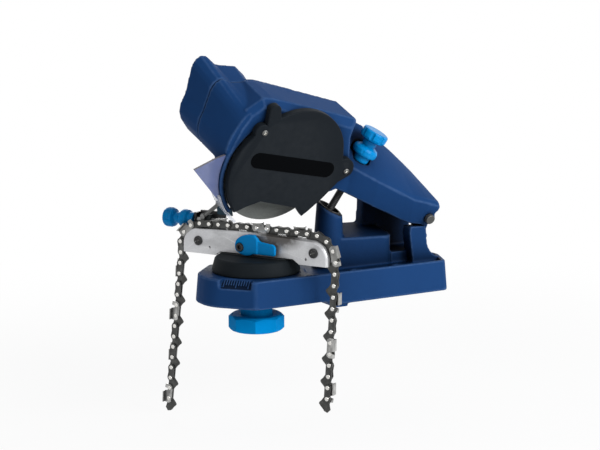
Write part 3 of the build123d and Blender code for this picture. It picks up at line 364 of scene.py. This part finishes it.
def makeClearSheet(name, colour, alpha):
    # it shows a little more colour where it is seen at a slant
    look = sheetLook
    material = bpy.data.materials.new(name)
    material.use_nodes = True
    tree = material.node_tree
    shader = tree.nodes["Principled BSDF"]
    shader.inputs["IOR"].default_value = look["ior"]
    shader.inputs["Specular IOR Level"].default_value = look["specular"]
    skin = placeGroup(tree, skinGroup, Colour=colour, Grain_Scale=look["grain"], Drift_Scale=look["driftScale"],
                      Drift_Amount=look["drift"])
    tree.links.new(skin.outputs["Colour"], shader.inputs["Base Color"])
    facing = tree.nodes.new("ShaderNodeLayerWeight")
    facing.inputs["Blend"].default_value = look["slantBlend"]
    smudge = mathNode(tree, "MULTIPLY", mathNode(tree, "SUBTRACT", skin.outputs["Mask"], 0.5), look["smudge"])
    slant = mathNode(tree, "ADD", mathNode(tree, "MULTIPLY", facing.outputs["Facing"], look["slant"]), smudge)
    tree.links.new(mathNode(tree, "ADD", slant, alpha, True), shader.inputs["Alpha"])
    haze = mathNode(tree, "MULTIPLY", skin.outputs["Height"], look["haze"])
    tree.links.new(mathNode(tree, "ADD", haze, look["roughness"]), shader.inputs["Roughness"])
    return material


materials = {name: makeFinish(name, look) for name, look in finishes.items()}
for sheetName, (sheetColour, sheetAlpha) in sheetLook["tones"].items():
    materials[sheetName] = makeClearSheet(sheetName, sheetColour, sheetAlpha)
print("finishes made:", len(materials))


# pieces made from the solids, with the small radii that mouldings and castings have
def newPiece(name, mesh, node, slots=()):
    mesh.materials.clear()
    for slot in slots or (nodeSlot[node],):
        mesh.materials.append(materials[slot])
    piece = bpy.data.objects.new(name, mesh)
    bpy.context.scene.collection.objects.link(piece)
    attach(piece, nodeBody[node])
    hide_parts(node)
    return piece


# points closer than weld mm are joined, and edges flatter than flatAngle degrees are dissolved
meshLook = dict(weld=0.002, flatAngle=0.6, bevelSegments=3)


def cleanMesh(node, name):
    mesh = frame["nodes"][node].data.copy()
    mesh.name = name
    bm = bmesh.new()
    bm.from_mesh(mesh)
    bmesh.ops.remove_doubles(bm, verts=bm.verts, dist=meshLook["weld"] * mm)
    bmesh.ops.dissolve_limit(bm, angle_limit=radians(meshLook["flatAngle"]), verts=bm.verts, edges=bm.edges)
    bmesh.ops.recalc_face_normals(bm, faces=bm.faces)
    for face in bm.faces:
        face.smooth = True
        face.material_index = 0
    bm.to_mesh(mesh)
    bm.free()
    return mesh


# radius in mm, angle in degrees above which an edge is rounded, and whether tight spots limit the radius
roundings = {
    "disc_guard": (0.5, 32, True), "depth_knob": (0.9, 26, True), "turntable": (0.8, 26, False),
    "front_jaw": (0.5, 30, False), "rear_jaw": (0.5, 30, False), "vise_carrier": (0.4, 32, True),
    "lock_knob": (1.2, 22, True), "stop_knob": (0.6, 26, True), "stop_bracket": (0.4, 32, True),
    "stop_carriage": (0.6, 32, True), "hinge_pin": (0.8, 30, False), "pawl_finger": (0.5, 32, True),
    "stop_pawl": (0.3, 32, True), "pawl_ball": (0.2, 32, True), "tower_collar": (0.3, 32, True),
    "switch_frame": (0.4, 32, True), "switch_rocker": (0.5, 32, True), "chain_drive_links": (0.16, 32, True),
    "chain_tie_straps": (0.18, 32, True), "chain_cutters": (0.16, 32, True), "guard_strip": (0.15, 32, True),
    "grinding_disc": (0.2, 32, True),
}

# nodes that look different from the rest of their material slot
ownFinish = {
    "lock_knob": "dullKnob", "front_jaw": "paintedReflectSilver", "hinge_pin": "dullSteel", "stop_pawl": "dullSteel",
    "pawl_pin": "dullSteel", "pawl_ball": "tealPlastic", "pawl_finger": "tealPlastic",
}


def softened(node, radius, sharpAngle, limited):
    slots = (ownFinish.get(node, nodeSlot[node]),)
    piece = newPiece(node + "Skin", cleanMesh(node, node + "Skin"), node, slots)
    bevel = piece.modifiers.new("edges", "BEVEL")
    bevel.width = radius * mm
    bevel.segments = meshLook["bevelSegments"]
    bevel.limit_method = "ANGLE"
    bevel.angle_limit = radians(sharpAngle)
    bevel.use_clamp_overlap = limited
    weighted = piece.modifiers.new("normals", "WEIGHTED_NORMAL")
    weighted.keep_sharp = True


# mouldings with soft radii all over: size of the mesh cells in mm and how often they are smoothed
shellLook = {"front_housing": (1.0, 5), "rear_housing": (0.9, 7), "base": (1.0, 6), "clamp_lever": (0.45, 26)}


def mouldedShell(node, cell, rounds):
    # every edge of the shell becomes a soft radius, also where several run together
    piece = newPiece(node + "Skin", cleanMesh(node, node + "Skin"), node)
    cells = piece.modifiers.new("cells", "REMESH")
    cells.mode = "VOXEL"
    cells.voxel_size = cell * mm
    cells.use_smooth_shade = True
    smoothing = piece.modifiers.new("radii", "SMOOTH")
    smoothing.factor = 0.5
    smoothing.iterations = rounds


def applyModifiers(piece):
    bpy.context.view_layer.update()
    mesh = bpy.data.meshes.new_from_object(piece.evaluated_get(bpy.context.evaluated_depsgraph_get()))
    piece.modifiers.clear()
    piece.data = mesh


# bevel of the swivel scale, in mm: the way it faces from the turntable, half its length, how near it comes and
# between which heights it lies; faces whose normals lie within these shares of upright and outwards belong to it
scaleLook = dict(facing=(-31.0, -27.5), halfLength=14.0, innerEdge=43.0, low=20.0, top=27.6,
                 upright=(0.5, 0.9), outwards=0.4)


def shadeScale(base):
    # painted shade: the bevel behind the raised ticks gets a coarser, darker copy of the shell finish
    look = scaleLook
    applyModifiers(base)
    base.data.materials.append(materials["paintedShadeShell"])
    outwards = Vector((*look["facing"], 0)).normalized()
    along = Vector((-outwards.y, outwards.x, 0))
    steepest, flattest = look["upright"]
    for polygon in base.data.polygons:
        spot = polygon.center - tableAxis
        atLength = abs(spot.dot(along)) < look["halfLength"] * mm and spot.dot(outwards) > look["innerEdge"] * mm
        atHeight = look["low"] * mm < spot.z < look["top"] * mm
        sloping = steepest < polygon.normal.z < flattest and polygon.normal.dot(outwards) > look["outwards"]
        if atLength and atHeight and sloping:
            polygon.material_index = 1


def dressNodes():
    for node, solid in frame["nodes"].items():
        solid.data.materials.clear()
        solid.data.materials.append(materials[ownFinish.get(node, nodeSlot[node])])
        if node in roundings:
            softened(node, *roundings[node])
        if node in shellLook:
            mouldedShell(node, *shellLook[node])
    shadeScale(bpy.data.objects["baseSkin"])


dressNodes()
print("nodes dressed")


# fasteners, threads and the clear shield
def bridgeRings(bm, rings):
    # smooth faces from each ring of points to the next; a ring that is a single point gives triangles
    for low, high in zip(rings, rings[1:]):
        for k in range(len(low)):
            after = (k + 1) % len(low)
            corners = (low[k], low[after], high[after], high[k])
            bm.faces.new(list(dict.fromkeys(corners))).smooth = True


def latheRings(bm, profile, place, sides=32):
    # closed turned shape: profile is (radius, height) in mm from its lower end to its upper end
    rings = []
    for radius, height in profile:
        if radius == 0:
            rings.append([bm.verts.new(place @ Vector((0, 0, height * mm)))] * sides)
        else:
            rings.append([bm.verts.new(place @ Vector((radius * mm * cos(2 * pi * k / sides),
                                                       radius * mm * sin(2 * pi * k / sides), height * mm)))
                          for k in range(sides)])
    bridgeRings(bm, rings)


def meshFrom(name, bm):
    bmesh.ops.recalc_face_normals(bm, faces=bm.faces)
    mesh = bpy.data.meshes.new(name)
    bm.to_mesh(mesh)
    bm.free()
    return mesh


# cross recess: its turn in degrees, how far the punch stands out in mm, its taper, and the screw's sharp edges
recessLook = dict(turn=24, sharpAngle=35, above=0.5, taper=0.62)


def crossCutter(place, arm, width, top, depth):
    # cross-shaped punch, narrower at its lower end
    bm = bmesh.new()
    half = width / 2
    levels = []
    for height, shrink in ((top + recessLook["above"], 1.0), (top - depth, recessLook["taper"])):
        outline = []
        for k in range(4):
            turn = Matrix.Rotation(k * pi / 2, 3, "Z")
            for x, y in ((arm * shrink, -half), (arm * shrink, half), (half, half)):
                outline.append(bm.verts.new(place @ (turn @ Vector((x * mm, y * mm, height * mm)))))
        levels.append(outline)
    upper, lower = levels
    for k in range(len(upper)):
        after = (k + 1) % len(upper)
        bm.faces.new((upper[k], upper[after], lower[after], lower[k]))
    bm.faces.new(upper)
    bm.faces.new(lower)
    for face in bm.faces:
        face.material_index = 1
    return bpy.data.objects.new("punch", meshFrom("punch", bm))


screwLooks = {
    "guard_screws": dict(
        places=[headPlace @ Matrix.Translation((x * mm, -16 * mm, z * mm))
                for x, z in ((-18.5, 97.5), (68.5, 56.5))],
        profile=((0, -5.4), (1.7, -5.4), (1.7, -0.1), (2.3, -0.1), (2.6, 0.1), (2.55, 0.6), (2.1, 1.1), (1.2, 1.35),
                 (0, 1.4)),
        arm=1.8, width=0.8, top=1.4, depth=1.0, slots=("dullSteel", "rivet_steel")),
    "vise_screws": dict(
        places=[tablePlace @ Matrix.Translation((x * mm, -6 * mm, z * mm))
                for x, z in ((-56, 49.4), (60, 48.8))],
        profile=((0, -19.0), (2.0, -19.0), (2.0, -18.5), (4.4, -18.5), (4.4, -15.9), (2.0, -15.9), (2.0, -0.1),
                 (3.9, -0.1), (4.2, 0.2), (4.15, 0.9), (3.6, 1.35), (2.4, 1.55), (0, 1.6)),
        arm=2.7, width=1.0, top=1.6, depth=1.2, slots=("blackScrew", "bareRecess")),
}


def makeScrews(node, look):
    towardsUser = Matrix.Rotation(pi / 2, 4, "X")
    bm = bmesh.new()
    for place in look["places"]:
        latheRings(bm, look["profile"], place @ towardsUser)
    piece = newPiece(node + "Heads", meshFrom(node + "Heads", bm), node, look["slots"])
    for place in look["places"]:
        turned = place @ towardsUser @ Matrix.Rotation(radians(recessLook["turn"]), 4, "Z")
        cutter = crossCutter(turned, look["arm"], look["width"], look["top"], look["depth"])
        bpy.context.scene.collection.objects.link(cutter)
        recess = piece.modifiers.new("recess", "BOOLEAN")
        recess.operation = "DIFFERENCE"
        recess.solver = "EXACT"
        recess.object = cutter
        applyModifiers(piece)
        bpy.data.objects.remove(cutter)
    piece.data.shade_smooth()
    piece.data.set_sharp_from_angle(angle=radians(recessLook["sharpAngle"]))


for screwNode, screwLook in screwLooks.items():
    makeScrews(screwNode, screwLook)
print("screws made")


leverScrewLook = dict(
    place=(-9, -10.6, 48.6), sharpAngle=40,
    profile=((0, -4.3), (2.5, -4.3), (2.5, 0), (3.3, 0), (3.55, 0.3), (3.55, 1.9), (3.2, 2.25), (2.15, 2.3),
             (1.9, 2.1), (1.9, 0.6), (0, 0.6)))


def makeLeverScrew():
    # bolt with a round socket in its head, sunk in the hub of the lever
    look = leverScrewLook
    place = tablePlace @ Matrix.Translation(Vector(look["place"]) * mm) @ Matrix.Rotation(pi / 2, 4, "X")
    bm = bmesh.new()
    latheRings(bm, look["profile"], place)
    piece = newPiece("leverScrewHead", meshFrom("leverScrewHead", bm), "lever_screw", ("blackScrew",))
    piece.data.set_sharp_from_angle(angle=radians(look["sharpAngle"]))


makeLeverScrew()
print("lever screw made")

# lengths in mm: the thread starts and ends a little way in from the rod's ends, where plainShare of its depth is
# taken off instead; flank is how steep its walls are
threadLook = dict(sides=24, stepsPerTurn=5, start=1.2, end=0.6, flank=4, plainShare=0.4, ballRings=5, sharpAngle=50)
rodLooks = {
    "depth_screw": dict(
        place=headPlace @ Matrix.Translation((69.9 * mm, 0, 5.5 * mm)) @ Matrix.Rotation(radians(22), 4, "Y"),
        radius=3.3, length=80.0, pitch=1.5, depth=0.45, ball=True, slot="black_steel"),
    "stop_screw": dict(
        place=tablePlace @ Matrix.Translation((-80 * mm, 9 * mm, 65.2 * mm)) @ Matrix.Rotation(pi / 2, 4, "Y"),
        radius=2.5, length=36.0, pitch=0.8, depth=0.3, ball=False, slot="screw_steel"),
}


def addRing(bm, place, radii, height):
    # ring of points around an axis, with a radius for each point, in mm
    sides = len(radii)
    angles = [2 * pi * k / sides for k in range(sides)]
    return [bm.verts.new(place @ (Vector((radius * cos(angle), radius * sin(angle), height)) * mm))
            for radius, angle in zip(radii, angles)]


def threadRadius(look, height, share):
    # radius at this height and share of a turn; the rod is plain near both ends
    phase = (height / look["pitch"] - share) % 1.0
    groove = look["depth"] * max(0.0, 1 - abs(phase - 0.5) * threadLook["flank"])
    threaded = threadLook["start"] < height < look["length"] - threadLook["end"]
    return look["radius"] - (groove if threaded else look["depth"] * threadLook["plainShare"])


def makeThreadedRod(node, look):
    # one thread wound along the rod, on a grid of rings, with a flat or a ball end
    sides = threadLook["sides"]
    rows = round(look["length"] / look["pitch"] * threadLook["stepsPerTurn"])
    bm = bmesh.new()
    rings = []
    for row in range(rows + 1):
        height = look["length"] * row / rows
        radii = [threadRadius(look, height, k / sides) for k in range(sides)]
        rings.append(addRing(bm, look["place"], radii, height))
    bridgeRings(bm, rings)
    bm.faces.new(rings[-1])
    tip = rings[:1]
    if look["ball"]:
        for level in range(threadLook["ballRings"]):
            angle = (level + 1) * pi / 2 / (threadLook["ballRings"] + 1)
            radii = [look["radius"] * cos(angle)] * sides
            tip.append(addRing(bm, look["place"], radii, -look["radius"] * sin(angle)))
        bridgeRings(bm, tip)
    bm.faces.new(tip[-1])
    for face in bm.faces:
        face.smooth = True
    piece = newPiece(node + "Thread", meshFrom(node + "Thread", bm), node, (look["slot"],))
    piece.data.set_sharp_from_angle(angle=radians(threadLook["sharpAngle"]))


for rodNode, rodLook in rodLooks.items():
    makeThreadedRod(rodNode, rodLook)
print("threads wound")


# radius of the coil and the wire, and the room above the top coil, in mm
springLook = dict(radius=5.2, wire=0.6, turns=5, room=1.45, stepsPerTurn=32, sides=10)


def makeSpring():
    # round wire; the top coil keeps clear of the plunger when the head is at its lowest
    look = springLook
    low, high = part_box("return_spring")
    bottom = low[2] / mm + look["wire"]
    top = high[2] / mm - look["wire"] - look["room"]
    centre = Vector(((low[0] + high[0]) / 2, (low[1] + high[1]) / 2, 0))
    steps, sides = look["turns"] * look["stepsPerTurn"], look["sides"]
    bm = bmesh.new()
    rings = []
    for step in range(steps + 1):
        angle = 2 * pi * look["turns"] * step / steps
        outwards = Vector((cos(angle), sin(angle), 0))
        heart = outwards * look["radius"] + Vector((0, 0, bottom + (top - bottom) * step / steps))
        rings.append([bm.verts.new(centre + (heart + outwards * look["wire"] * cos(2 * pi * k / sides)
                                             + Vector((0, 0, look["wire"] * sin(2 * pi * k / sides)))) * mm)
                      for k in range(sides)])
    bridgeRings(bm, rings)
    bm.faces.new(rings[0])
    bm.faces.new(rings[-1])
    newPiece("returnSpringWire", meshFrom("returnSpringWire", bm), "return_spring")


makeSpring()
print("spring wound")


def islandCentres(mesh):
    # middle of each separate solid in a mesh
    bm = bmesh.new()
    bm.from_mesh(mesh)
    bmesh.ops.remove_doubles(bm, verts=bm.verts, dist=meshLook["weld"] * mm)
    seen, centres = set(), []
    for start in bm.verts:
        if start in seen:
            continue
        group, waiting = [], [start]
        seen.add(start)
        while waiting:
            vert = waiting.pop()
            group.append(vert.co.copy())
            for edge in vert.link_edges:
                other = edge.other_vert(vert)
                if other not in seen:
                    seen.add(other)
                    waiting.append(other)
        low = Vector([min(co[axis] for co in group) for axis in range(3)])
        high = Vector([max(co[axis] for co in group) for axis in range(3)])
        centres.append((low + high) / 2)
    bm.free()
    return centres


rivetLook = dict(profile=((0, -0.3), (1.9, -0.3), (1.9, -0.1), (1.75, 0.12), (1.35, 0.28), (0.85, 0.3),
                          (0.55, 0.16), (0, 0.1)), sides=16)


def makeRivets():
    # peened heads with a small dimple, on both sides of the chain
    across = (tablePlace.to_3x3() @ Vector((0, 1, 0))).normalized()
    bm = bmesh.new()
    for centre in islandCentres(frame["nodes"]["chain_rivets"].data):
        side = 1 if (centre - tablePlace.translation).dot(across) > 0 else -1
        place = Matrix.Translation(centre) @ (across * side).to_track_quat("Z", "X").to_matrix().to_4x4()
        latheRings(bm, rivetLook["profile"], place, rivetLook["sides"])
    newPiece("chainRivetHeads", meshFrom("chainRivetHeads", bm), "chain_rivets")


makeRivets()
print("rivets made")


# in mm: middle and reach of the flap's round, and between which depths the flat sheet lies
shieldLook = dict(rimCentre=(6.7, 56.5), rimRadius=57.6, back=-8.0, front=-5.0, facingShare=0.9, sharpAngle=30)


def makeShield():
    # the cut edges of the sheet are darker than its faces
    look = shieldLook
    mesh = cleanMesh("spark_shield", "sparkShieldSheet")
    newPiece("sparkShieldSheet", mesh, "spark_shield", ("clear_shield", "shieldEdge", "paintedFlapHighlight"))
    sheetNormal = headPlace.to_3x3() @ Vector((0, 1, 0))
    rimX, rimZ = look["rimCentre"]
    rimCentre = headPlace @ Vector((rimX * mm, 0, rimZ * mm))
    for polygon in mesh.polygons:
        fromRim = polygon.center - rimCentre
        depth = fromRim.dot(sheetNormal)
        atRim = (fromRim - sheetNormal * depth).length < look["rimRadius"] * mm
        inSheet = look["back"] * mm < depth < look["front"] * mm
        flat = inSheet and abs(polygon.normal.dot(sheetNormal)) > look["facingShare"]
        # the flap at the rim takes the pale colour of a painted highlight
        polygon.material_index = 0 if flat else 2 if atRim else 1
    mesh.set_sharp_from_angle(angle=radians(look["sharpAngle"]))


makeShield()
print("shield made")


# stage, light and camera
# floorDrop is in mm under the lowest point, the rest in metres; the floor turns white between the two fades
stageLook = dict(floorDrop=4.0, floorHalf=6.0, floorTone=0.86, floorRoughness=0.9, floorSpecular=0.1,
                 nearWhite=0.90, fadeStart=0.22, fadeEnd=0.85)


def seenRays(tree):
    # 1 for what the camera sees, directly, mirrored or through clear sheet
    path = tree.nodes.new("ShaderNodeLightPath")
    direct = mathNode(tree, "MAXIMUM", path.outputs["Is Camera Ray"], path.outputs["Is Glossy Ray"])
    return mathNode(tree, "MAXIMUM", direct, path.outputs["Is Transmission Ray"])


def makeStage():
    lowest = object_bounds()[0][2]
    mesh = bpy.data.meshes.new("floor")
    half = stageLook["floorHalf"]
    mesh.from_pydata([(-half, -half, 0), (half, -half, 0), (half, half, 0), (-half, half, 0)], [], [(0, 1, 2, 3)])
    floor = bpy.data.objects.new("floor", mesh)
    floor.location.z = lowest - stageLook["floorDrop"] * mm
    bpy.context.scene.collection.objects.link(floor)
    material = bpy.data.materials.new("floorPale")
    material.use_nodes = True
    tree = material.node_tree
    shader = tree.nodes["Principled BSDF"]
    shader.inputs["Base Color"].default_value = (stageLook["floorTone"],) * 3 + (1,)
    shader.inputs["Roughness"].default_value = stageLook["floorRoughness"]
    shader.inputs["Specular IOR Level"].default_value = stageLook["floorSpecular"]
    glow = tree.nodes.new("ShaderNodeEmission")
    away = tree.nodes.new("ShaderNodeVectorMath")
    away.operation = "LENGTH"
    tree.links.new(tree.nodes.new("ShaderNodeTexCoord").outputs["Object"], away.inputs[0])
    fade = tree.nodes.new("ShaderNodeMapRange")
    fade.interpolation_type = "SMOOTHSTEP"
    for socket, value in (("From Min", stageLook["fadeStart"]), ("From Max", stageLook["fadeEnd"]),
                          ("To Min", stageLook["nearWhite"]), ("To Max", 1.0)):
        fade.inputs[socket].default_value = value
    tree.links.new(away.outputs["Value"], fade.inputs["Value"])
    mix = tree.nodes.new("ShaderNodeMixShader")
    tree.links.new(mathNode(tree, "MULTIPLY", seenRays(tree), fade.outputs[0]), mix.inputs[0])
    tree.links.new(shader.outputs[0], mix.inputs[1])
    tree.links.new(glow.outputs[0], mix.inputs[2])
    tree.links.new(mix.outputs[0], tree.nodes["Material Output"].inputs["Surface"])
    mesh.materials.append(material)


worldLook = dict(fillColour=(0.95, 0.97, 1.0, 1), fill=0.26, backdropColour=(1, 1, 1, 1), backdrop=1.0)


def makeWorld():
    world = bpy.data.worlds.new("studio")
    bpy.context.scene.world = world
    world.use_nodes = True
    tree = world.node_tree
    fill = tree.nodes["Background"]
    fill.inputs["Color"].default_value = worldLook["fillColour"]
    fill.inputs["Strength"].default_value = worldLook["fill"]
    backdrop = tree.nodes.new("ShaderNodeBackground")
    backdrop.inputs["Color"].default_value = worldLook["backdropColour"]
    backdrop.inputs["Strength"].default_value = worldLook["backdrop"]
    mix = tree.nodes.new("ShaderNodeMixShader")
    tree.links.new(seenRays(tree), mix.inputs[0])
    tree.links.new(fill.outputs[0], mix.inputs[1])
    tree.links.new(backdrop.outputs[0], mix.inputs[2])
    tree.links.new(mix.outputs[0], tree.nodes["World Output"].inputs["Surface"])


# each lamp: place, target, width and height in metres, power in watts
lamps = {
    "keyLamp": ((0.50, -1.30, 0.66), (0, 0, 0.06), 0.9, 0.7, 21.5),
    "topLamp": ((0.1, 0.15, 1.5), (0, 0, 0.06), 1.2, 0.9, 1.6),
    "backLamp": ((0.25, 1.3, 0.45), (0, 0, 0.08), 0.9, 0.6, 6.0),
    "leftLamp": ((-1.15, -0.60, 0.62), (-0.1, 0, 0.10), 0.8, 0.6, 2.3),
}


def softBox(name, place, target, width, height, power):
    lamp = bpy.data.lights.new(name, "AREA")
    lamp.shape = "RECTANGLE"
    lamp.size = width
    lamp.size_y = height
    lamp.energy = power
    holder = bpy.data.objects.new(name, lamp)
    bpy.context.scene.collection.objects.link(holder)
    holder.location = place
    holder.rotation_euler = (Vector(target) - Vector(place)).to_track_quat("-Z", "Y").to_euler()


for lampName, lampFacts in lamps.items():
    softBox(lampName, *lampFacts)
makeStage()
makeWorld()

# place in mm, angles in degrees, focal length in pixels of a render this wide, sensor in mm, clip in metres
cameraLook = dict(place=(-605.6, -944.5, 243.9), azimuth=30.0, down=9.4, focal=1262.0, imageWidth=600.0,
                  sensor=36.0, clip=(0.05, 30))


def makeCamera():
    camera = bpy.data.cameras.new("camera")
    camera.sensor_width = cameraLook["sensor"]
    camera.lens = cameraLook["focal"] / cameraLook["imageWidth"] * cameraLook["sensor"]
    camera.clip_start, camera.clip_end = cameraLook["clip"]
    holder = bpy.data.objects.new("camera", camera)
    bpy.context.scene.collection.objects.link(holder)
    holder.location = Vector(cameraLook["place"]) * mm
    holder.rotation_euler = (radians(90 - cameraLook["down"]), 0, radians(-cameraLook["azimuth"]))
    bpy.context.scene.camera = holder


makeCamera()
bpy.context.scene.view_settings.view_transform = "Standard"
print("stage, lamps and camera set")

bpy.context.view_layer.update()
